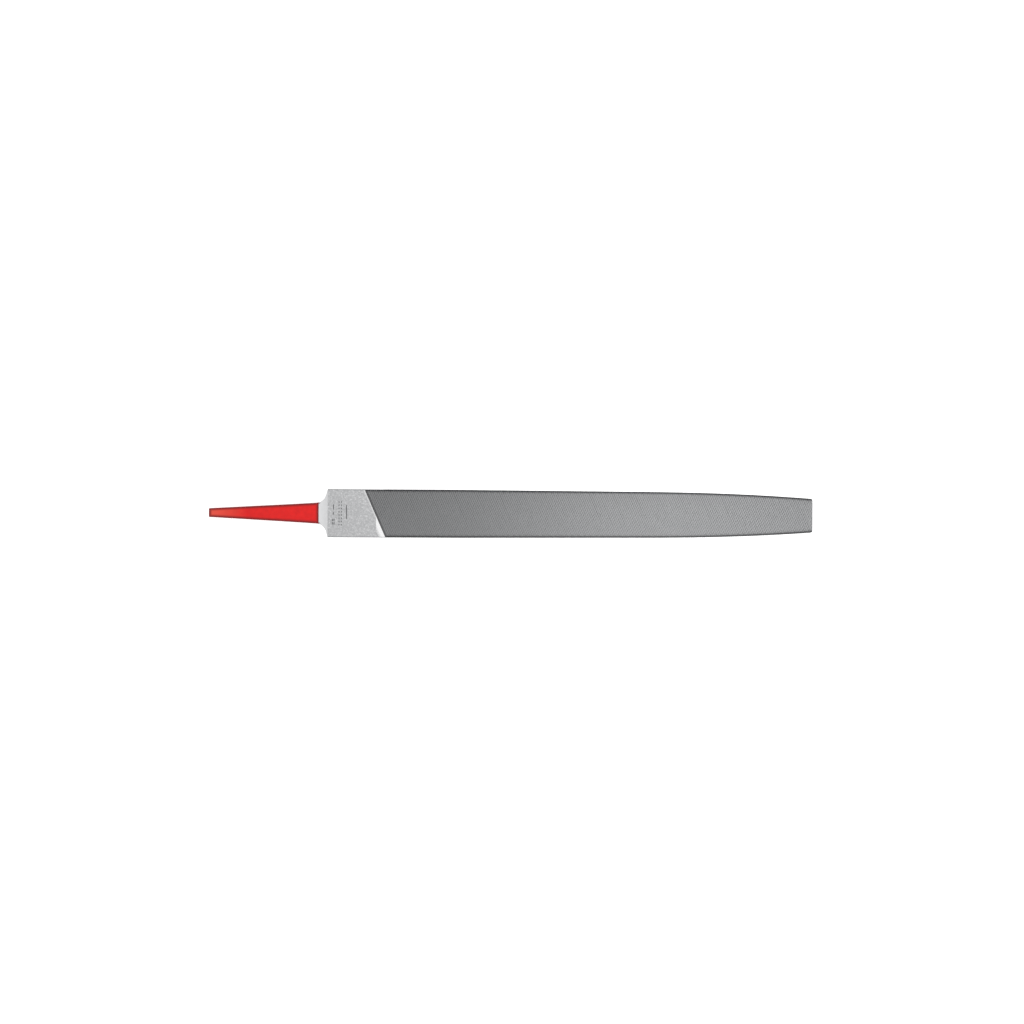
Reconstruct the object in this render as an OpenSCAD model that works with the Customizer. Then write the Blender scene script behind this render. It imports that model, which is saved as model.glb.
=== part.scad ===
// Flat file, American pattern, 10 inch: one forged and cut steel blank with a coated tang.
// Frame: the origin is on the file's axis at the shoulders, where the tang starts.
// +X runs to the point, +Y across the width, +Z out of the upper face. Millimetres.

/* [Body] */
// Length from the shoulders to the point
file_length = 254; // [240:1:270]
// Width at the heel
heel_width = 25.2; // [22:0.1:28]
// Width at the point
point_width = 17.6; // [15:0.1:20]
// Thickness over the teeth, next to the heel
body_thickness = 6.2; // [5.8:0.1:7]
// Thickness over the teeth at the point
point_thickness = 4.2; // [3.6:0.1:5]
// Bevel on the long corners and round the point
corner_bevel = 0.5; // [0.3:0.1:0.8]

/* [Teeth] */
// Spacing of the rows on the two faces, square to the rows
row_pitch = 1; // [0.8:0.1:1.6]
// Depth of the rows on the two faces
row_depth = 0.34; // [0.24:0.02:0.44]
// Lean of the rows from square across the file, in degrees
row_lean = 23.6; // [15:0.1:28]
// Distance from the shoulders to the first row, on the axis
first_row = 24.8; // [22:0.1:30]
// Spacing of the rows on the two edges
edge_pitch = 1; // [0.8:0.1:1.6]
// Depth of the rows on the two edges
edge_depth = 0.22; // [0.1:0.02:0.3]
// Lean of the rows on the two edges, in degrees
edge_lean = 20; // [0:1:30]

/* [Tang] */
// Length from the shoulders to the end of the bare tang
tang_length = 62.1; // [55:0.1:70]
// Width of the bare tang where the coating starts
tang_root_width = 10.6; // [9.6:0.1:12]
// Width at the end of the bare tang
tang_end_width = 4.3; // [3.5:0.1:5.5]
// Thickness of the bare tang where the coating starts
tang_root_thickness = 5.2; // [4.6:0.1:5.4]
// Thickness at the end of the bare tang
tang_end_thickness = 2.6; // [2:0.1:3]
// Bevel on the corners of the tang
tang_bevel = 0.6; // [0.3:0.1:1]
// Radius of the fillet between a shoulder and the tang
shoulder_radius = 6.2; // [5.8:0.1:6.6]
// Lean of the shoulders from square, in degrees
shoulder_lean = 16; // [10:0.5:18]

/* [Coating] */
// Thickness of the coating on the tang
coating = 0.18; // [0.12:0.01:0.3]
// Length of bare steel between the shoulders and the coating
bare_neck = 4.7; // [4.4:0.1:5.4]

/* [Stamp] */
// Depth of the struck marks in the heel
stamp_depth = 0.15; // [0.05:0.01:0.3]
// Width of a struck line
stamp_line = 0.5; // [0.3:0.1:0.7]

/* [Hidden] */

// Spare size of a block that another shape trims.
spare = 2;

// The sides run parallel at first, then close in along a straight, then along a belly.
taper_start = 0.265 * file_length;
belly_start = 0.645 * file_length;
straight_share = 0.263;
belly_power = 2.3;
belly_steps = 12;

// The faces close in evenly, from just past the heel to the point.
thinning_start = 0.1 * file_length;

function along(x, from) = max(0, min(x, file_length) - from) / (file_length - from);
function narrowing(x) = straight_share * along(x, taper_start)
    + (1 - straight_share) * pow(along(x, belly_start), belly_power);
function half_width(x) = (heel_width - (heel_width - point_width) * narrowing(x)) / 2;
function half_thickness(x) =
    (body_thickness - (body_thickness - point_thickness) * along(x, thinning_start)) / 2;

// The chisel throws each row up above the plain heel by this much.
crest_rise = 0.1;
heel_half = body_thickness / 2 - crest_rise;

// A tooth climbs over this share of the pitch, then falls steeply towards the point.
crest_at = 0.76;
function tooth(start, pitch, crest, depth) =
    [[start, crest - depth], [start + crest_at * pitch, crest]];

// Rows on a face: height over the mid-plane against the distance square to the rows.
first_u = first_row * cos(row_lean);
last_u = file_length * cos(row_lean) + heel_width / 2 * sin(row_lean);
face_rows = [
    for (u = [first_u : row_pitch : last_u])
        each tooth(u, row_pitch, half_thickness(u / cos(row_lean)), row_depth)
];

// Rows on an edge: half the width against the length. The heel's edge is plain.
first_edge_row = first_row + heel_width / 2 * tan(row_lean);
edge_rows = [
    for (x = [first_edge_row : edge_pitch : file_length])
        each tooth(x, edge_pitch, half_width(x), edge_depth)
];

// The tang tapers evenly both ways, from the coating's front to its end.
tang_run = tang_length - bare_neck;
bevel_overlap = 0.4;
bevel_run_out = 1;
width_slope = (tang_root_width - tang_end_width) / 2 / tang_run;
thickness_slope = (tang_root_thickness - tang_end_thickness) / 2 / tang_run;
function tang_half_width(x) = tang_root_width / 2 + (x + bare_neck) * width_slope;
function tang_half_thickness(x) =
    tang_root_thickness / 2 + (x + bare_neck) * thickness_slope;

// A shoulder leans back from the heel's corner until it meets the side of the tang.
lean = tan(shoulder_lean);
function shoulder_x(y) = (y - heel_width / 2) * lean;
root_y = (tang_half_width(0) - width_slope * lean * heel_width / 2)
    / (1 - width_slope * lean);
root_corner = [shoulder_x(root_y), root_y];

// The fillet touches the side of the tang and the shoulder, which face these ways.
side_angle = atan(width_slope);
side_normal = [-sin(side_angle), cos(side_angle)];
shoulder_normal = [-cos(shoulder_lean), sin(shoulder_lean)];
fillet_centre = root_corner + shoulder_radius * (side_normal + shoulder_normal)
    / (1 + sin(side_angle + shoulder_lean));
fillet_steps = 12;

// A shallow facet is ground beside the first row, at one edge of the heel.
facet_start = 0.6;
facet_tilt = 2.2;
facet_overlap = 0.05;

// Struck marks, as [distance from the shoulders, centre across, length across].
stamp_marks = [
    [2.6, -5.3, 1.2], [3.4, -5.3, 1.2], [2.6, -3.6, 1.2], [3.4, -3.6, 1.2],
    [3, -0.1, 1.2], [3, 3.3, 2.6],
    [9.9, 0.6, 7.4],
];
tick_columns = [6, 7.2];
tick_length = 0.8;
tick_pitch = 1.7;
tick_reach = 6;

// Each cutter is drawn along its own rows, and is just long enough to reach the last one.
module face_cutter() {
    top = heel_half + 3 * spare;
    end_u = last_u + spare;
    rotate([0, 0, row_lean])
        translate([0, heel_width, 0])
            rotate([90, 0, 0])
                linear_extrude(height = file_length * sin(row_lean) + 2 * heel_width)
                    polygon(concat([[end_u, top], [-heel_width, top],
                                    [-heel_width, heel_half], [first_u, heel_half]],
                                   face_rows,
                                   [[end_u, face_rows[len(face_rows) - 1][1]]]));
}

module edge_cutter() {
    side = heel_width / 2;
    far = side + 2 * spare;
    end_x = file_length + spare;
    outline = concat([[end_x, far], [-spare, far], [-spare, side], [first_edge_row, side]],
                     edge_rows,
                     [[end_x, edge_rows[len(edge_rows) - 1][1]]]);
    rotate([0, -edge_lean, 0])
        translate([0, 0, -end_x * sin(edge_lean) - 2 * body_thickness])
            linear_extrude(height = end_x * sin(edge_lean) + 4 * body_thickness)
                polygon([for (p = outline) [p[0] * cos(edge_lean), p[1]]]);
}

// A corner's bevel lies at 45 degrees, so its plane is an outline drawn along that slope.
module corner_cutter(outline) {
    for (turn = [45 : 90 : 315])
        rotate([turn, 0, 0])
            linear_extrude(height = 2 * heel_width, center = true)
                polygon(outline);
}

module body_bevels() {
    far = heel_width;
    steps = [for (i = [0 : belly_steps])
             belly_start + (file_length - belly_start) * i / belly_steps];
    stations = concat([-spare, thinning_start, taper_start], steps, [file_length + spare]);
    corner_cutter(concat(
        [[file_length + spare, far], [-spare, far]],
        [for (x = stations)
         [x, (half_width(x) + half_thickness(x) - corner_bevel) / sqrt(2)]]));
}

// The bevels run out to nothing just past the front that is given.
module tang_bevels(grow, front) {
    far = heel_width;
    back = -tang_length - spare;
    function depth(x) = grow
        + (tang_half_width(x) + tang_half_thickness(x) - tang_bevel) / sqrt(2);
    end = front + bevel_run_out;
    corner_cutter([[back, depth(back)], [front, depth(front)],
                   [end, depth(front) + bevel_run_out], [end, far], [back, far]]);
}

// An outline that is given for one side only, closed by its mirror image.
module symmetric_polygon(half) {
    last = len(half) - 1;
    polygon(concat(half, [for (i = [last : -1 : 0]) [half[i][0], -half[i][1]]]));
}

// Outline from above. The edge cutters trim its sides.
module blank_plan() {
    side = heel_width / 2 + spare;
    point_side = point_width / 2;
    run_out = 3 * spare;
    arc = [for (i = [0 : fillet_steps])
           let(turn = side_angle + (90 - shoulder_lean - side_angle) * (1 - i / fillet_steps))
           fillet_centre - shoulder_radius * [-sin(turn), cos(turn)]];
    symmetric_polygon(concat(
        [[file_length, point_side - corner_bevel],
         [file_length - corner_bevel - run_out, point_side + run_out],
         [shoulder_x(side), side]],
        arc,
        [[-tang_length, tang_half_width(-tang_length)]]));
}

// Outline from the side. The neck slopes up from the tang to the heel's faces, and the
// face cutters trim the rest.
module blank_side() {
    neck_slope = (heel_half - tang_root_thickness / 2) / bare_neck;
    point_half = point_thickness / 2;
    symmetric_polygon([
        [file_length, point_half - corner_bevel],
        [file_length - corner_bevel - spare, point_half + spare],
        [spare, heel_half + spare],
        [spare, heel_half + spare * neck_slope],
        [-bare_neck, tang_root_thickness / 2],
        [-tang_length, tang_half_thickness(-tang_length)]]);
}

module facet_cutter() {
    slope = tan(row_lean);
    offset = facet_overlap - facet_start;
    translate([first_row + facet_start, 0, heel_half])
        rotate([0, facet_tilt, 0])
            linear_extrude(height = spare)
                polygon([[0, offset / slope], [0, -heel_width],
                         [heel_width * slope + offset, -heel_width]]);
}

module stamp_mark(x, y, size_x, size_y) {
    translate([x, y, heel_half])
        cube([size_x, size_y, 2 * stamp_depth], center = true);
}

module stamp() {
    for (mark = stamp_marks)
        stamp_mark(mark[0], mark[1], stamp_line, mark[2]);
    for (x = tick_columns, y = [-tick_reach : tick_pitch : tick_reach])
        stamp_mark(x, y, stamp_line, tick_length);
}

module rough_blank() {
    intersection() {
        linear_extrude(height = 4 * body_thickness, center = true) blank_plan();
        rotate([90, 0, 0])
            linear_extrude(height = 2 * heel_width, center = true) blank_side();
    }
}

// The same cut on the other side, as half a turn about the length brings it round.
module both_sides() {
    children();
    rotate([180, 0, 0]) children();
}

// The edges are cut first, then the corners are bevelled, then the faces are cut.
module edged_blank() {
    difference() {
        rough_blank();
        both_sides() edge_cutter();
    }
}

module bevelled_blank() {
    difference() {
        edged_blank();
        body_bevels();
        tang_bevels(0, bevel_overlap - bare_neck);
    }
}

module file_blank() {
    color([0.62, 0.63, 0.64])
    difference() {
        bevelled_blank();
        both_sides() face_cutter();
        facet_cutter();
        stamp();
    }
}

// Outline of the coated tang from above. The fillets start under the coating's front.
module coated_plan() {
    back = -tang_length - coating;
    radius = shoulder_radius - coating;
    front_turn = asin((-bare_neck - fillet_centre[0]) / radius);
    arc = [for (i = [0 : fillet_steps])
           let(turn = front_turn + (side_angle - front_turn) * i / fillet_steps)
           fillet_centre - radius * [-sin(turn), cos(turn)]];
    symmetric_polygon(concat(arc, [[back, tang_half_width(back) + coating]]));
}

module coated_side() {
    back = -tang_length - coating;
    symmetric_polygon([[-bare_neck, tang_half_thickness(-bare_neck) + coating],
                       [back, tang_half_thickness(back) + coating]]);
}

module coated_tang() {
    difference() {
        intersection() {
            linear_extrude(height = 2 * body_thickness, center = true) coated_plan();
            rotate([90, 0, 0])
                linear_extrude(height = 2 * heel_width, center = true) coated_side();
        }
        tang_bevels(coating, spare - bare_neck);
    }
}

module bare_tang() {
    difference() {
        rough_blank();
        tang_bevels(0, bevel_overlap - bare_neck);
    }
}

module tang_coating() {
    color([0.86, 0.06, 0.05])
    difference() {
        coated_tang();
        bare_tang();
    }
}

file_blank();
tang_coating();
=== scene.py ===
"""A 10 inch flat file: a cut steel blank whose tang is dipped in red enamel.

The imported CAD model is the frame: +X runs to the point, +Z out of the stamped face, and the
origin is on the axis at the shoulders. Everything here is in metres.
"""

import math

import bmesh
import bpy
from mathutils import Matrix, Vector, noise


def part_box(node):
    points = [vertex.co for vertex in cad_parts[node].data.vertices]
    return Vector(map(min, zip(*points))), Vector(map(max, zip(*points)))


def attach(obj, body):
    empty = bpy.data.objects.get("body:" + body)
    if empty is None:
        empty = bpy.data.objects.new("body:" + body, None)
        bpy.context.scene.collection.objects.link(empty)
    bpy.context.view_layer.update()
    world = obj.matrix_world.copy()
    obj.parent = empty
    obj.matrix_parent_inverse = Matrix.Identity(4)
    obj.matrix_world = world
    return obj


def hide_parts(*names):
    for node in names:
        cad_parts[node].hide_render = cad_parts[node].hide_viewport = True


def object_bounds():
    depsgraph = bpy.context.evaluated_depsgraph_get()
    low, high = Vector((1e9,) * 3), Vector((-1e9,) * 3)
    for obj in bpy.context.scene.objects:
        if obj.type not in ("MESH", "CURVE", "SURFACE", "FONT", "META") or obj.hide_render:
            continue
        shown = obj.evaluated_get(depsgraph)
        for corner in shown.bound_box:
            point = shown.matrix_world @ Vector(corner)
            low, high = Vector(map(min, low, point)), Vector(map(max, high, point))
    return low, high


MM = 0.001
QUARTER_TURN = math.pi / 2

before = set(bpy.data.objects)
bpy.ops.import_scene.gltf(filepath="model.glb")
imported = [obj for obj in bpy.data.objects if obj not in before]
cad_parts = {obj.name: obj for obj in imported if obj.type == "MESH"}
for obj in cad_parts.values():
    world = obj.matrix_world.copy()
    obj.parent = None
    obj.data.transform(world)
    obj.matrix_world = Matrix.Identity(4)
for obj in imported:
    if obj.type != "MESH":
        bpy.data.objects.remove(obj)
cad_low, cad_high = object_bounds()
blank_low, blank_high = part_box("file_blank")
coat_low, coat_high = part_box("tang_coating")

# ---------------------------------------------------------------- the file's own measures

LENGTH = blank_high.x
HALF_WIDTH = blank_high.y
HALF_THICKNESS = blank_high.z
POINT_HALF_WIDTH = 8.8 * MM
POINT_HALF_THICKNESS = 2.1 * MM

# The faces close in evenly from here to the point.
THINNING_START = 0.1 * LENGTH

# The sides close in along a straight, then along a belly.
TAPER_START = 0.265 * LENGTH
BELLY_START = 0.645 * LENGTH
STRAIGHT_SHARE = 0.263
BELLY_POWER = 2.3

# The up-cut rows of the CAD blank. They lean this way, and the first one bounds the heel.
ROW_LEAN = math.radians(23.6)
FIRST_ROW = 24.8 * MM
ROW_DEPTH = 0.34 * MM
UP_NORMAL = Vector((math.cos(ROW_LEAN), math.sin(ROW_LEAN), 0))
FIRST_U = FIRST_ROW * math.cos(ROW_LEAN)

# The over-cut rows cross them and break them up into teeth.
OVER_LEAN = math.radians(-42)
OVER_PITCH = 1.25 * MM
OVER_DEPTH = 0.3 * MM
OVER_RISE = 0.03 * MM
CREST_AT = 0.76
OVER_NORMAL = Vector((math.cos(OVER_LEAN), math.sin(OVER_LEAN), 0))

# Their cutter: how far it goes past the point and above the face, how far past the sides, how
# far past the first row it starts, and its steps across, as leaning rows bend with the body.
CUTTER_SPARE = 2 * MM
CUTTER_OVERHANG = 1.5 * MM
CUTTER_START = 0.02 * MM
CUTTER_STEPS = 8

# Vertices of the CAD mesh that are closer than this are one.
WELD_DISTANCE = 0.0005 * MM

# Where the edges' own rows begin, and the facet that is ground beside the first row.
EDGE_START = FIRST_ROW + HALF_WIDTH * math.tan(ROW_LEAN)
FACET_TILT = math.radians(2.2)
FACET_NORMAL = Vector((math.sin(FACET_TILT), 0, math.cos(FACET_TILT)))

# The plain heel, and the marks that are struck in it.
HEEL_HALF = HALF_THICKNESS - 0.1 * MM
STAMP_DEPTH = 0.15 * MM

# How the facet's painted highlight brightens towards the first row, and the neck's painted
# sheen away from the heel.
FACET_GLINT_FADE = (-3.6 * MM, -1.4 * MM)
NECK_SHEEN_FADE = (-4 * MM, -0.5 * MM)

# The marks that are stored on the blank's faces, and the limits that tell them apart: parts of
# a face's normal, then distances, and for a struck mark its depth as a share of STAMP_DEPTH.
SURFACE_MARKS = ("cut", "side", "bevel", "facet", "neck", "mark")
BROAD_NORMAL_Z = 0.25
SLOPED_NORMAL_Y = 0.5
SIDE_NORMAL_Y = 0.8
BEVEL_NORMAL_Z = (0.6, 0.8)
SAME_NORMAL = 0.99999
ROW_SLACK = 0.01 * MM
NECK_SLACK = 0.02 * MM
MARK_SINK = (0.2, 1.1)
MARK_FROM_EDGE = 1 * MM

# Painted shade: the darker rim, where the rows run out at the corners.
RIM_SHADE_WIDTH = 1.3 * MM

# The blank's UV map: its name, the size of the square that it fills, the middle of each sheet's
# row, the height of one strip of all the sheets, where the second strip starts, how far it
# overlaps the first, and the gap at the left.
BAKE_MAP = "OFBake"
SHEET_SIZE = 170 * MM
SHEET_ROWS = [row * MM for row in (13, 39, 55.5, 62.5, 136, 143)]
END_SHEETS = (4, 5)
STRIP_HEIGHT = 66.5 * MM
SHEET_CUT = 100 * MM
SHEET_OVERLAP = 6 * MM
SHEET_GAP = 0.5 * MM

# Unevenness of the teeth. It keeps off the first row, the sides and the point.
WEAR_DEPTH = 0.03 * MM
WEAR_SIZE = 1.3 * MM
WEAR_SHIFT = Vector((7, 3, 5))
WEAR_REACH = 1.2 * ROW_DEPTH
WEAR_FROM_ROW = 0.3 * MM
WEAR_FROM_EDGE = 0.6 * MM

# The enamel coat on the tang.
COAT_THICKNESS = 0.18 * MM
COAT_END_HALF_WIDTH = 2.33 * MM
COAT_END_HALF_DEPTH = 1.48 * MM
COAT_FRONT_HALF_WIDTH = 5.48 * MM
COAT_CORNER = 0.75 * MM
COAT_STEPS = 90
COAT_UNEVEN = 0.04 * MM
COAT_WAVE = 5 * MM
# Painted shade: how far in from the corners, lip and end the enamel is darkened.
COAT_EDGE_SHADE_REACH = 1.7 * MM
LIP_SHARE = 0.9
END_ROUND = 0.4 * MM
END_CORNER = 0.9 * COAT_CORNER
CORNER_STEPS = 6
LIP_STEPS = 4
WIDE_STEPS = 14
NARROW_STEPS = 7

# The shoulders' fillets start under the coat's front, and the coat follows them.
FILLET_CENTRE = Vector((-6.796 * MM, 11.394 * MM))
FILLET_RADIUS = 6.2 * MM

# Steel, as reflectance in linear light.
HEEL_LIGHT = (0.68, 0.683, 0.69)
HEEL_DARK = (0.38, 0.383, 0.39)
# Painted sheen: the plain steel of the neck is painted lighter, as its slope catches the light.
NECK_SHEEN_COLOUR = (0.66, 0.663, 0.67)
# Painted highlight: the glint of the polished facet, also laid beside the first row.
GLINT_COLOUR = (0.86, 0.86, 0.865)
MARK_COLOUR = (0.14, 0.142, 0.146)
# Painted shade: the heel's corner bevels, which face away from the light.
BEVEL_SHADE_COLOUR = (0.24, 0.242, 0.246)
CREST_COLOUR = (0.3, 0.303, 0.307)
GULLET_COLOUR = (0.269, 0.271, 0.275)
# Painted shade: the rim and the first row of teeth.
PAINTED_SHADE_COLOUR = (0.065, 0.066, 0.068)

# Enamel.
RED = (0.68, 0.004, 0.003)
RED_DEEP = (0.58, 0.002, 0.002)
# Painted highlight towards the coat's end.
RED_HIGHLIGHT = (0.7, 0.085, 0.05)
# Painted shade near the coat's corners, lip and end.
RED_SHADE = (0.17, 0.002, 0.002)

# Sizes of the patterns in both, and the noise values that they fade between.
FINE_GRAIN = 0.4 * MM
MOTTLE_GRAIN = 0.9 * MM
STEEL_CLOUD = 9 * MM
ENAMEL_CLOUD = 2.5 * MM
ENAMEL_RIPPLE = 1.6 * MM
SOFT_NOISE = (0.3, 0.7)
CRISP_NOISE = (0.35, 0.65)

# How strongly the heel is mottled and clouded, and how much painted highlight brightens the
# steel beside the first row.
MOTTLE_SHARE = 0.8
HEEL_CLOUD_SHARE = 0.25
# Painted sheen: how much of the neck's lighter colour it takes.
NECK_SHEEN_SHARES = (1, 0.7)
BESIDE_GLINT_FADE = (-1 * MM, -0.2 * MM)
BESIDE_GLINT_SHARE = 0.4

# How the teeth darken in the gullets and in clouds, and how painted shade darkens the first
# row and the rim.
DEPTH_FADE = (0, 0.9)
TOOTH_CLOUD_SHARE = 0.2
FIRST_ROW_SHADE_FADE = (0.3 * MM, 1.4 * MM)
FIRST_ROW_SHADE_SHARE = 0.7
RIM_SHADE_FADE = (0, 0.6)

# How the painted highlight pales the enamel towards its end, measured from there, and how
# painted shade darkens it near its corners, lip and end.
TIP_HIGHLIGHT_FADE = (2 * MM, 20 * MM)
TIP_HIGHLIGHT_SHARE = 0.8
EDGE_SHADE_FADE = (0, 0.65)
EDGE_SHADE_SHARE = 0.95

# Roughness and bumps.
HEEL_ROUGHNESS = (0.34, 0.42)
FACET_ROUGHNESS = 0.16
CUT_ROUGHNESS = (0.68, 0.76)
ENAMEL_ROUGHNESS = (0.3, 0.4)
ENAMEL_SPECULAR = 0.3
STEEL_BUMP = 0.01 * MM
ENAMEL_BUMP = 0.03 * MM

# The light table.
TABLE_COLOUR = (0.8, 0.8, 0.8)
TABLE_ROUGHNESS = 0.9
TABLE_HALF_SIZE = 3
TABLE_GAP = 0.02 * MM

# Light, as radiance. In the render 1 is white. The dome changes from the horizon's light to the
# ring's, and from the ring's to the zenith's, over two ranges of height from 0 to 1.
WHITE = (1, 1, 1)
TABLE_GLOW = 0.6
ZENITH_LIGHT = 1.05
RING_LIGHT = 1.3
HORIZON_LIGHT = 0.25
DOME_RISE = (0.12, 0.5)
DOME_TOP = (0.8, 0.93)

# A soft panel hangs over the file, and faces the point.
PANEL_CENTRE = (0.165, 0.01, 0.14)
PANEL_AIM = (0.25, 0, 0)
PANEL_SIZE = (0.14, 0.16)
PANEL_LIGHT = 3.9

# The camera, and what it sees: this many times the file's length.
LENS = 200
SENSOR = 36
VIEW_SHARE = 1.6957
VIEW_ROLL = math.radians(0.306)
AIM_OFFSET = Vector((0.73 * MM, 1.13 * MM, 0))
CLIP_START = 0.1
CLIP_END = 20

# The Mix node's sockets for colours and for numbers: its two inputs, then its output.
MIX_SOCKETS = {"RGBA": (6, 7, 2), "FLOAT": (2, 3, 0)}

# ---------------------------------------------------------------- the body's outline


def along(x, start):
    """How far x is from start to the point, from 0 to 1."""
    return max(0.0, min(x, LENGTH) - start) / (LENGTH - start)


def half_thickness(x):
    """Half the thickness over the teeth at x."""
    drop = HALF_THICKNESS - POINT_HALF_THICKNESS
    return HALF_THICKNESS - drop * along(x, THINNING_START)


def half_width(x):
    """Half the width of the body at x."""
    drop = STRAIGHT_SHARE * along(x, TAPER_START)
    drop += (1 - STRAIGHT_SHARE) * along(x, BELLY_START) ** BELLY_POWER
    return HALF_WIDTH - (HALF_WIDTH - POINT_HALF_WIDTH) * drop


# ---------------------------------------------------------------- mesh helpers


def clamped(value):
    """The value, or the nearest to it from 0 to 1."""
    return min(1.0, max(0.0, value))


def noise_share(point):
    """Noise at a point, from 0 to 1."""
    return 0.5 + 0.5 * noise.noise(point)


def object_from(mesh_tool, name):
    """A new object that holds what is in a bmesh, which is freed."""
    mesh = bpy.data.meshes.new(name)
    mesh_tool.to_mesh(mesh)
    mesh_tool.free()
    made = bpy.data.objects.new(name, mesh)
    bpy.context.scene.collection.objects.link(made)
    return made


def welded_copy(cad_name, name):
    """A closed copy of a CAD node, whose vertices come split at its sharp edges."""
    mesh_tool = bmesh.new()
    mesh_tool.from_mesh(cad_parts[cad_name].data)
    bmesh.ops.remove_doubles(mesh_tool, verts=mesh_tool.verts, dist=WELD_DISTANCE)
    return object_from(mesh_tool, name)


def cut_away(piece, cutters):
    """Takes the cutters' solids out of the piece, then deletes the cutters. The result is all
    triangles, which stay flat when their corners move."""
    for cutter in cutters:
        cut = piece.modifiers.new("cut", "BOOLEAN")
        cut.operation = "DIFFERENCE"
        cut.solver = "MANIFOLD"
        cut.object = cutter
    piece.modifiers.new("triangles", "TRIANGULATE")
    graph = bpy.context.evaluated_depsgraph_get()
    mesh = bpy.data.meshes.new_from_object(piece.evaluated_get(graph))
    piece.modifiers.clear()
    piece.data = mesh
    for cutter in cutters:
        bpy.data.objects.remove(cutter)


# ---------------------------------------------------------------- over-cut rows


def over_cut_lines():
    """(distance square to the rows, height over the crests) of each gullet and crest."""
    sideways = abs(OVER_NORMAL.y) * (HALF_WIDTH + CUTTER_SPARE)
    first = -sideways
    last = OVER_NORMAL.x * (LENGTH + CUTTER_SPARE) + sideways
    lines = []
    for row in range(math.ceil((last - first) / OVER_PITCH)):
        start = first + row * OVER_PITCH
        lines.append((start, -OVER_DEPTH))
        lines.append((start + CREST_AT * OVER_PITCH, OVER_RISE))
    return lines


def draw_over_cut(mesh_tool):
    """Adds the over-cut rows of the upper face to a bmesh, as one folded sheet."""
    reach = HALF_WIDTH + CUTTER_OVERHANG
    grid = []
    for distance, height in over_cut_lines():
        strip = []
        for step in range(CUTTER_STEPS + 1):
            y = reach * (2 * step / CUTTER_STEPS - 1)
            x = (distance - OVER_NORMAL.y * y) / OVER_NORMAL.x
            strip.append(mesh_tool.verts.new((x, y, half_thickness(x) + height)))
        grid.append(strip)
    for near, far in zip(grid, grid[1:]):
        for step in range(CUTTER_STEPS):
            mesh_tool.faces.new((near[step], far[step], far[step + 1], near[step + 1]))


def over_cutter(name):
    """The solid above the over-cut rows of the upper face, from the first row to the point."""
    mesh_tool = bmesh.new()
    draw_over_cut(mesh_tool)
    raised = bmesh.ops.extrude_face_region(mesh_tool, geom=mesh_tool.faces[:])
    for vert in raised["geom"]:
        if isinstance(vert, bmesh.types.BMVert):
            vert.co.z = HALF_THICKNESS + CUTTER_SPARE
    bmesh.ops.bisect_plane(
        mesh_tool,
        geom=mesh_tool.verts[:] + mesh_tool.edges[:] + mesh_tool.faces[:],
        plane_co=UP_NORMAL * (FIRST_U + CUTTER_START),
        plane_no=UP_NORMAL,
        clear_inner=True,
    )
    rim = [edge for edge in mesh_tool.edges if edge.is_boundary]
    bmesh.ops.edgeloop_fill(mesh_tool, edges=rim)
    bmesh.ops.triangulate(mesh_tool, faces=mesh_tool.faces[:])
    bmesh.ops.recalc_face_normals(mesh_tool, faces=mesh_tool.faces[:])
    return object_from(mesh_tool, name)


def make_blank():
    """The steel blank, with both cuts on both faces."""
    blank = welded_copy("file_blank", "cut_blank")
    upper = over_cutter("upper_cutter")
    lower = over_cutter("lower_cutter")
    lower.data.transform(Matrix.Rotation(math.pi, 4, "X"))
    cut_away(blank, [upper, lower])
    return blank


def rows_distance(point):
    """How far a point on a face is past the first row, square to the rows."""
    side = math.copysign(1.0, point.z)
    return point.x * UP_NORMAL.x + side * point.y * UP_NORMAL.y - FIRST_U


def wear_teeth(blank):
    """Makes the teeth a little uneven, as a chisel leaves them. No face is raised."""
    for vert in blank.data.vertices:
        point = vert.co
        in_rows = rows_distance(point) > WEAR_FROM_ROW
        in_outline = max(point.x - LENGTH, abs(point.y) - HALF_WIDTH) < -WEAR_FROM_EDGE
        on_teeth = half_thickness(point.x) - abs(point.z) < WEAR_REACH
        if in_rows and in_outline and on_teeth:
            drop = WEAR_DEPTH * noise_share(point / WEAR_SIZE)
            point.z -= math.copysign(drop, point.z)
            point.x += WEAR_DEPTH * noise.noise(point / WEAR_SIZE + WEAR_SHIFT)


def surface_kind(face):
    """Whether a face of the blank is cut, a side, a corner's bevel, the bright facet, the
    neck, or the inside of a struck mark."""
    normal, centre = face.normal, face.center
    on_side = abs(normal.y) > SLOPED_NORMAL_Y
    past = centre.x - EDGE_START if on_side else rows_distance(centre)
    cut = past > -ROW_SLACK
    side = abs(normal.y) > SIDE_NORMAL_Y
    bevel = on_side and centre.x > 0 and BEVEL_NORMAL_Z[0] < abs(normal.z) < BEVEL_NORMAL_Z[1]
    facet = past < 0 and centre.x > FIRST_ROW and normal.dot(FACET_NORMAL) > SAME_NORMAL
    neck = centre.x < NECK_SLACK and not on_side
    sunk = MARK_SINK[0] < (HEEL_HALF - centre.z) / STAMP_DEPTH < MARK_SINK[1]
    on_heel = 0 < centre.x < FIRST_ROW and abs(centre.y) < HALF_WIDTH - MARK_FROM_EDGE
    return tuple(float(kind) for kind in (cut, side, bevel, facet, neck, sunk and on_heel))


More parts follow.
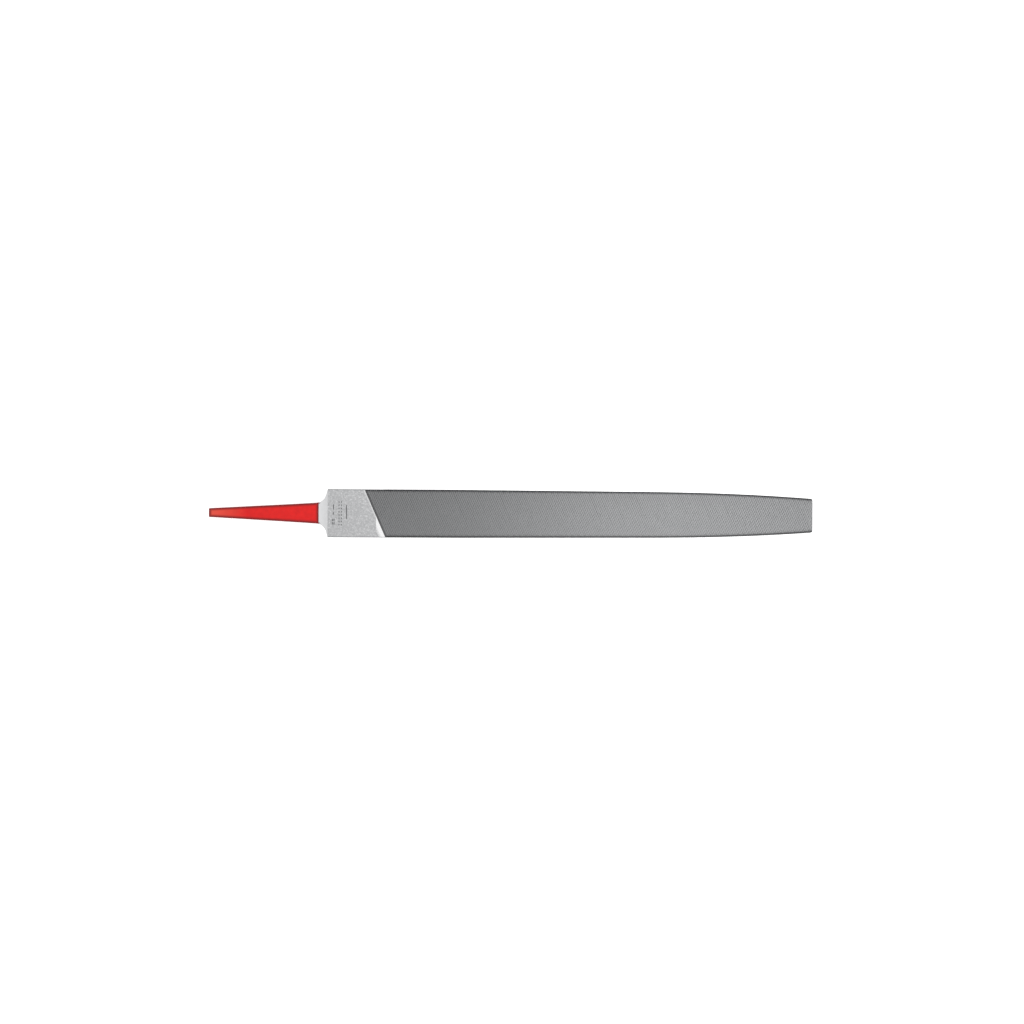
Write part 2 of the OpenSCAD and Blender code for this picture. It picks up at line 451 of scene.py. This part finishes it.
def mark_surfaces(blank):
    """Stores each face's kind, and each vertex's depth in the teeth and nearness to the rim,
    where shade is painted.
    """
    mesh = blank.data
    for name in SURFACE_MARKS:
        mesh.attributes.new(name, "FLOAT", "FACE")
    mesh.attributes.new("depth", "FLOAT", "POINT")
    mesh.attributes.new("rim", "FLOAT", "POINT")
    # Adding an attribute moves the others, so they are looked up once all are there.
    marks = [mesh.attributes[name] for name in SURFACE_MARKS]
    for face in mesh.polygons:
        for mark, value in zip(marks, surface_kind(face)):
            mark.data[face.index].value = value
    depth, rim = mesh.attributes["depth"], mesh.attributes["rim"]
    for vert in mesh.vertices:
        below = half_thickness(vert.co.x) - abs(vert.co.z)
        depth.data[vert.index].value = clamped(below / ROW_DEPTH)
        from_edge = half_width(vert.co.x) - abs(vert.co.y)
        rim.data[vert.index].value = clamped(1 - from_edge / RIM_SHADE_WIDTH)


def flat_sheet(face):
    """Which sheet of the UV map a face lies on, and the two axes it is drawn along: 0 and 1
    are the broad faces, 2 and 3 the sides, 4 and 5 the ends."""
    normal = face.normal
    if abs(normal.z) > BROAD_NORMAL_Z:
        return (0 if normal.z > 0 else 1), 0, 1
    if abs(normal.y) > abs(normal.x):
        return (2 if normal.y > 0 else 3), 0, 2
    return (4 if normal.x > 0 else 5), 1, 2


def strip_place(sheet, far):
    """Where a strip of a sheet starts on the object, and the row of its middle on the map."""
    if sheet in END_SHEETS:
        return -HALF_WIDTH, SHEET_ROWS[sheet]
    if far:
        return SHEET_CUT - SHEET_OVERLAP, SHEET_ROWS[sheet] + STRIP_HEIGHT
    return blank_low.x, SHEET_ROWS[sheet]


def lay_flat(blank):
    """Gives the blank a UV map without thin islands for the export to bake on. Each sheet is
    drawn flat and to scale, in one strip up to SHEET_CUT and another past it."""
    mesh = blank.data
    uvs = mesh.uv_layers.new(name=BAKE_MAP).uv
    for face in mesh.polygons:
        sheet, across, up = flat_sheet(face)
        start, middle = strip_place(sheet, face.center.x > SHEET_CUT)
        for corner in face.loop_indices:
            point = mesh.vertices[mesh.loops[corner].vertex_index].co
            column = point[across] - start + SHEET_GAP
            row = point[up] + middle
            uvs[corner].vector = (column / SHEET_SIZE, row / SHEET_SIZE)


# ---------------------------------------------------------------- the enamel coat


def coat_half_sizes(x, shrink=0.0):
    """Half the width and half the thickness of the coat at x."""
    share = (x - coat_low.x) / (coat_high.x - coat_low.x)
    wide = COAT_END_HALF_WIDTH * (1 - share) + COAT_FRONT_HALF_WIDTH * share
    deep = COAT_END_HALF_DEPTH * (1 - share) + coat_high.z * share
    past_centre = x - FILLET_CENTRE.x
    if past_centre > 0:
        rise = math.sqrt((FILLET_RADIUS - COAT_THICKNESS) ** 2 - past_centre ** 2)
        wide = FILLET_CENTRE.y - rise
    return wide - shrink, deep - shrink


def spaced(first, last, steps):
    """Points from first up to, but without, last."""
    return [first + (last - first) * step / steps for step in range(steps)]


def ring_points(wide, deep, corner):
    """Points round a rounded rectangle of those half sizes, as (y, z), anticlockwise from the
    +Y side."""
    corners = []
    for side_y, side_z in ((1, 1), (-1, 1), (-1, -1), (1, -1)):
        centre = Vector((side_y * (wide - corner), side_z * (deep - corner)))
        start = QUARTER_TURN * len(corners)
        turns = [start + QUARTER_TURN * step / CORNER_STEPS for step in range(CORNER_STEPS + 1)]
        corners.append([centre + corner * Vector((math.cos(turn), math.sin(turn)))
                        for turn in turns])
    points = []
    for index, arc in enumerate(corners):
        after = corners[(index + 1) % len(corners)][0]
        flats = WIDE_STEPS if index % 2 == 0 else NARROW_STEPS
        points += arc[:-1]
        points += [arc[-1].lerp(after, share) for share in spaced(0, 1, flats)]
    return points


def coat_rings():
    """(x, shrink, corner radius) of each ring of the skin, from the far end of its inside to
    the front, round the lip, back along the outside and over the blunt end."""
    rings = [(coat_low.x + COAT_THICKNESS, COAT_THICKNESS, COAT_CORNER),
             (coat_high.x, COAT_THICKNESS, COAT_CORNER)]
    for turn in spaced(0, QUARTER_TURN, LIP_STEPS):
        shrink = COAT_THICKNESS * LIP_SHARE * (1 - math.sin(turn))
        rings.append((coat_high.x - COAT_THICKNESS * (1 - math.cos(turn)), shrink, COAT_CORNER))
    front = coat_high.x - COAT_THICKNESS
    back = coat_low.x + END_ROUND
    rings += [(x, 0.0, COAT_CORNER) for x in spaced(front, back, COAT_STEPS)]
    for turn in spaced(0, QUARTER_TURN, CORNER_STEPS) + [QUARTER_TURN]:
        rings.append((back - END_ROUND * math.sin(turn), END_ROUND * (1 - math.cos(turn)),
                      END_CORNER))
    return rings


def make_coat():
    """The dipped enamel: a thin closed skin with a soft lip in front and a blunt end."""
    mesh_tool = bmesh.new()
    rings = []
    for x, shrink, corner in coat_rings():
        wide, deep = coat_half_sizes(x, shrink)
        rings.append([mesh_tool.verts.new((x, y, z))
                      for y, z in ring_points(wide, deep, corner)])
    count = len(rings[0])
    for near, far in zip(rings, rings[1:]):
        for index in range(count):
            after = (index + 1) % count
            mesh_tool.faces.new((near[index], near[after], far[after], far[index]))
    mesh_tool.faces.new(rings[0])
    mesh_tool.faces.new(rings[-1])
    bmesh.ops.recalc_face_normals(mesh_tool, faces=mesh_tool.faces[:])
    for vert in mesh_tool.verts:
        outward = Vector((0, vert.co.y, vert.co.z)).normalized()
        vert.co -= outward * COAT_UNEVEN * noise_share(vert.co / COAT_WAVE)
    return object_from(mesh_tool, "tang_enamel")


def mark_coat(coat):
    """Stores how near each vertex is to a long corner, the lip or the end, from 0 to 1, where
    shade is painted.
    """
    edge_shade = coat.data.attributes.new("edge_shade", "FLOAT", "POINT")
    for vert in coat.data.vertices:
        wide, deep = coat_half_sizes(vert.co.x)
        from_corner = max(wide - abs(vert.co.y), deep - abs(vert.co.z))
        near = min(from_corner, coat_high.x - vert.co.x, vert.co.x - coat_low.x)
        edge_shade.data[vert.index].value = clamped(1 - near / COAT_EDGE_SHADE_REACH)


# ---------------------------------------------------------------- shader helpers


def new_material(name):
    """A material, with its node tree and its Principled shader."""
    material = bpy.data.materials.new(name)
    material.use_nodes = True
    return material, material.node_tree, material.node_tree.nodes["Principled BSDF"]


def node(tree, kind, **settings):
    """A shader node with those properties set."""
    made = tree.nodes.new(kind)
    for key, value in settings.items():
        setattr(made, key, value)
    return made


def join(tree, source, socket):
    """Links a socket to another, or sets it to a number or a colour."""
    if isinstance(source, bpy.types.NodeSocket):
        tree.links.new(source, socket)
    elif isinstance(source, (int, float)):
        socket.default_value = source
    else:
        socket.default_value = (*source, 1.0)


def attribute(tree, name):
    """The value that is stored on the mesh under that name."""
    return node(tree, "ShaderNodeAttribute", attribute_name=name).outputs["Fac"]


def axis(tree, coordinates, name):
    """One coordinate, X, Y or Z, of the object's own or the generated ones."""
    parts = node(tree, "ShaderNodeSeparateXYZ")
    where = node(tree, "ShaderNodeTexCoord").outputs[coordinates]
    tree.links.new(where, parts.inputs[0])
    return parts.outputs[name]


def grain(tree, size, detail=4.0):
    """Noise from 0 to 1 with features of that size."""
    made = node(tree, "ShaderNodeTexNoise")
    made.inputs["Scale"].default_value = 1 / size
    made.inputs["Detail"].default_value = detail
    where = node(tree, "ShaderNodeTexCoord").outputs["Object"]
    tree.links.new(where, made.inputs["Vector"])
    return made.outputs["Fac"]


def ranged(tree, source, source_range, result_range, smooth=False):
    """The source taken from one range to another, and clamped to it."""
    made = node(tree, "ShaderNodeMapRange", clamp=True)
    if smooth:
        made.interpolation_type = "SMOOTHSTEP"
    tree.links.new(source, made.inputs["Value"])
    for label, value in zip(("From Min", "From Max"), source_range):
        made.inputs[label].default_value = value
    for label, value in zip(("To Min", "To Max"), result_range):
        made.inputs[label].default_value = value
    return made.outputs["Result"]


def mix_of(tree, data_type, share, first, second):
    """What lies between two sockets or values of that type."""
    made = node(tree, "ShaderNodeMix", data_type=data_type)
    first_input, second_input, output = MIX_SOCKETS[data_type]
    join(tree, share, made.inputs[0])
    join(tree, first, made.inputs[first_input])
    join(tree, second, made.inputs[second_input])
    return made.outputs[output]


def mixed(tree, share, first, second):
    """The colour between two, each a socket or three numbers."""
    return mix_of(tree, "RGBA", share, first, second)


def between(tree, share, first, second):
    """The number between two, each a socket or a number."""
    return mix_of(tree, "FLOAT", share, first, second)


def math_node(tree, operation, first, second):
    """A sum, a product or the like of two, each a socket or a number."""
    made = node(tree, "ShaderNodeMath", operation=operation)
    join(tree, first, made.inputs[0])
    join(tree, second, made.inputs[1])
    return made.outputs[0]


def scaled(tree, source, factor):
    """The source times another socket or a number."""
    return math_node(tree, "MULTIPLY", source, factor)


def bumped(tree, shader, height, distance):
    """Gives a shader bumps of that height."""
    made = node(tree, "ShaderNodeBump")
    made.inputs["Distance"].default_value = distance
    tree.links.new(height, made.inputs["Height"])
    tree.links.new(made.outputs["Normal"], shader.inputs["Normal"])


# ---------------------------------------------------------------- materials


def past_first_row(tree):
    """How far a point is past the first row, square to the rows, in metres."""
    along_file = scaled(tree, axis(tree, "Object", "X"), UP_NORMAL.x)
    face_sign = math_node(tree, "SIGN", axis(tree, "Object", "Z"), 0.0)
    across = scaled(tree, axis(tree, "Object", "Y"), face_sign)
    distance = math_node(tree, "ADD", along_file, scaled(tree, across, UP_NORMAL.y))
    return math_node(tree, "SUBTRACT", distance, FIRST_U)


def heel_colour(tree, marks, fine, cloud, past):
    """Finely ground steel, darker in the struck marks, with a painted sheen on the neck, a
    painted highlight on the facet and next to the teeth, and painted shade on the bevels."""
    mottle = grain(tree, MOTTLE_GRAIN, detail=2.0)
    heel = mixed(tree, ranged(tree, fine, CRISP_NOISE, (0, 1)), HEEL_DARK, HEEL_LIGHT)
    heel = mixed(tree, ranged(tree, mottle, CRISP_NOISE, (0, MOTTLE_SHARE)), heel, HEEL_DARK)
    heel = mixed(tree, ranged(tree, cloud, SOFT_NOISE, (0, HEEL_CLOUD_SHARE)), heel, HEEL_DARK)
    # Painted highlight: a bright strip on the broad faces beside the first row.
    beside_glint = ranged(tree, past, BESIDE_GLINT_FADE, (0, BESIDE_GLINT_SHARE), smooth=True)
    heel = mixed(tree, between(tree, marks["side"], beside_glint, 0.0), heel, GLINT_COLOUR)
    # Painted sheen on the neck.
    neck_sheen = ranged(tree, axis(tree, "Object", "X"), NECK_SHEEN_FADE, NECK_SHEEN_SHARES)
    heel = mixed(tree, scaled(tree, marks["neck"], neck_sheen), heel, NECK_SHEEN_COLOUR)
    # Painted highlight: the facet's glint, painted brighter towards the first row.
    facet_glint = ranged(tree, past, FACET_GLINT_FADE, (0, 1), smooth=True)
    heel = mixed(tree, scaled(tree, marks["facet"], facet_glint), heel, GLINT_COLOUR)
    heel = mixed(tree, marks["mark"], heel, MARK_COLOUR)
    # Painted shade on the bevels.
    return mixed(tree, marks["bevel"], heel, BEVEL_SHADE_COLOUR)


def tooth_colour(tree, side, cloud, past):
    """Cut steel: darker in the gullets, with painted shade in the first row, and darkest at the
    rim, where the rows run out."""
    depth = ranged(tree, attribute(tree, "depth"), DEPTH_FADE, (0, 1))
    tooth = mixed(tree, depth, CREST_COLOUR, GULLET_COLOUR)
    clouded = ranged(tree, cloud, SOFT_NOISE, (0, TOOTH_CLOUD_SHARE))
    tooth = mixed(tree, clouded, tooth, GULLET_COLOUR)
    # Painted shade in the first row's gullet and along the rim.
    first = ranged(tree, past, FIRST_ROW_SHADE_FADE, (FIRST_ROW_SHADE_SHARE, 0), smooth=True)
    rim = ranged(tree, attribute(tree, "rim"), RIM_SHADE_FADE, (0, 1))
    painted_shade = between(tree, side, math_node(tree, "MAXIMUM", first, rim), 0.0)
    return mixed(tree, painted_shade, tooth, PAINTED_SHADE_COLOUR)


def steel_material():
    """File steel: a plain ground heel and neck, and darker, matt teeth."""
    material, tree, shader = new_material("file_steel")
    marks = {name: attribute(tree, name) for name in SURFACE_MARKS}
    cut = marks["cut"]
    fine = grain(tree, FINE_GRAIN)
    cloud = grain(tree, STEEL_CLOUD)
    past = past_first_row(tree)
    colour = mixed(tree, cut, heel_colour(tree, marks, fine, cloud, past),
                   tooth_colour(tree, marks["side"], cloud, past))
    join(tree, colour, shader.inputs["Base Color"])
    shader.inputs["Metallic"].default_value = 1.0
    heel_rough = ranged(tree, fine, SOFT_NOISE, HEEL_ROUGHNESS)
    heel_rough = between(tree, marks["facet"], heel_rough, FACET_ROUGHNESS)
    cut_rough = ranged(tree, fine, SOFT_NOISE, CUT_ROUGHNESS)
    join(tree, between(tree, cut, heel_rough, cut_rough), shader.inputs["Roughness"])
    bumped(tree, shader, fine, STEEL_BUMP)
    return material


def enamel_material():
    """Dipped red enamel, with painted shade near its corners, lip and end, and a painted
    highlight towards its end.
    """
    material, tree, shader = new_material("red_enamel")
    cloud = grain(tree, ENAMEL_CLOUD, detail=3.0)
    red = mixed(tree, ranged(tree, cloud, SOFT_NOISE, (0, 1)), RED_DEEP, RED)
    # Painted highlight: the enamel is painted paler towards its end.
    highlight_range = [coat_low.x + distance for distance in TIP_HIGHLIGHT_FADE]
    tip_highlight = ranged(tree, axis(tree, "Object", "X"), highlight_range, (TIP_HIGHLIGHT_SHARE, 0))
    red = mixed(tree, tip_highlight, red, RED_HIGHLIGHT)
    # Painted shade near the corners, lip and end.
    edge_shade = ranged(tree, attribute(tree, "edge_shade"), EDGE_SHADE_FADE, (0, EDGE_SHADE_SHARE))
    join(tree, mixed(tree, edge_shade, red, RED_SHADE), shader.inputs["Base Color"])
    shader.inputs["Specular IOR Level"].default_value = ENAMEL_SPECULAR
    join(tree, ranged(tree, cloud, SOFT_NOISE, ENAMEL_ROUGHNESS), shader.inputs["Roughness"])
    bumped(tree, shader, grain(tree, ENAMEL_RIPPLE, detail=2.0), ENAMEL_BUMP)
    return material


def table_material():
    """A white table top that is lit from below."""
    material, tree, shader = new_material("light_table")
    join(tree, TABLE_COLOUR, shader.inputs["Base Color"])
    shader.inputs["Roughness"].default_value = TABLE_ROUGHNESS
    shader.inputs["Specular IOR Level"].default_value = 0.0
    join(tree, WHITE, shader.inputs["Emission Color"])
    shader.inputs["Emission Strength"].default_value = TABLE_GLOW
    return material


# ---------------------------------------------------------------- the studio


def make_table():
    """The light table that the file lies on, far wider than the view."""
    mesh_tool = bmesh.new()
    bmesh.ops.create_grid(mesh_tool, x_segments=1, y_segments=1, size=TABLE_HALF_SIZE)
    table = object_from(mesh_tool, "light_table")
    table.location.z = cad_low.z - TABLE_GAP
    table.data.materials.append(table_material())


def make_panel():
    """A soft light over the middle of the file that faces the point. The camera doesn't
    see it."""
    data = bpy.data.lights.new("panel", "AREA")
    data.shape = "RECTANGLE"
    data.size, data.size_y = PANEL_SIZE
    data.energy = PANEL_LIGHT * math.pi * PANEL_SIZE[0] * PANEL_SIZE[1]
    panel = bpy.data.objects.new("panel", data)
    panel.location = PANEL_CENTRE
    facing = Vector(PANEL_AIM) - panel.location
    panel.rotation_euler = facing.to_track_quat("-Z", "Y").to_euler()
    panel.visible_camera = False
    bpy.context.scene.collection.objects.link(panel)


def make_world():
    """A pale dome: softer overhead, brightest half-way up, and dark at the horizon."""
    world = bpy.data.worlds.new("studio")
    world.use_nodes = True
    tree = world.node_tree
    height = axis(tree, "Generated", "Z")
    rising = ranged(tree, height, DOME_RISE, (HORIZON_LIGHT, RING_LIGHT), smooth=True)
    overhead = ranged(tree, height, DOME_TOP, (0, 1), smooth=True)
    background = tree.nodes["Background"]
    join(tree, between(tree, overhead, rising, ZENITH_LIGHT), background.inputs["Strength"])
    join(tree, WHITE, background.inputs["Color"])
    bpy.context.scene.world = world


def make_camera():
    """Straight down on the file from far off, with the tang on the left."""
    data = bpy.data.cameras.new("camera")
    data.lens = LENS
    data.sensor_width = SENSOR
    data.clip_start = CLIP_START
    data.clip_end = CLIP_END
    camera = bpy.data.objects.new("camera", data)
    seen = VIEW_SHARE * (cad_high.x - cad_low.x)
    aim = (cad_low + cad_high) / 2 + AIM_OFFSET
    camera.location = (aim.x, aim.y, cad_high.z + seen * LENS / SENSOR)
    camera.rotation_euler = (0, 0, VIEW_ROLL)
    bpy.context.scene.collection.objects.link(camera)
    bpy.context.scene.camera = camera


# ---------------------------------------------------------------- building it all


def finish_piece(piece, material, stands_for):
    """Gives a piece its material and its place in the frame."""
    piece.data.materials.clear()
    piece.data.materials.append(material)
    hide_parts(stands_for)
    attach(piece, "root")


blank = make_blank()
wear_teeth(blank)
mark_surfaces(blank)
lay_flat(blank)
finish_piece(blank, steel_material(), "file_blank")

coat = make_coat()
mark_coat(coat)
coat.data.shade_smooth()
finish_piece(coat, enamel_material(), "tang_coating")

make_table()
make_world()
make_panel()
make_camera()
bpy.context.scene.view_settings.view_transform = "Standard"
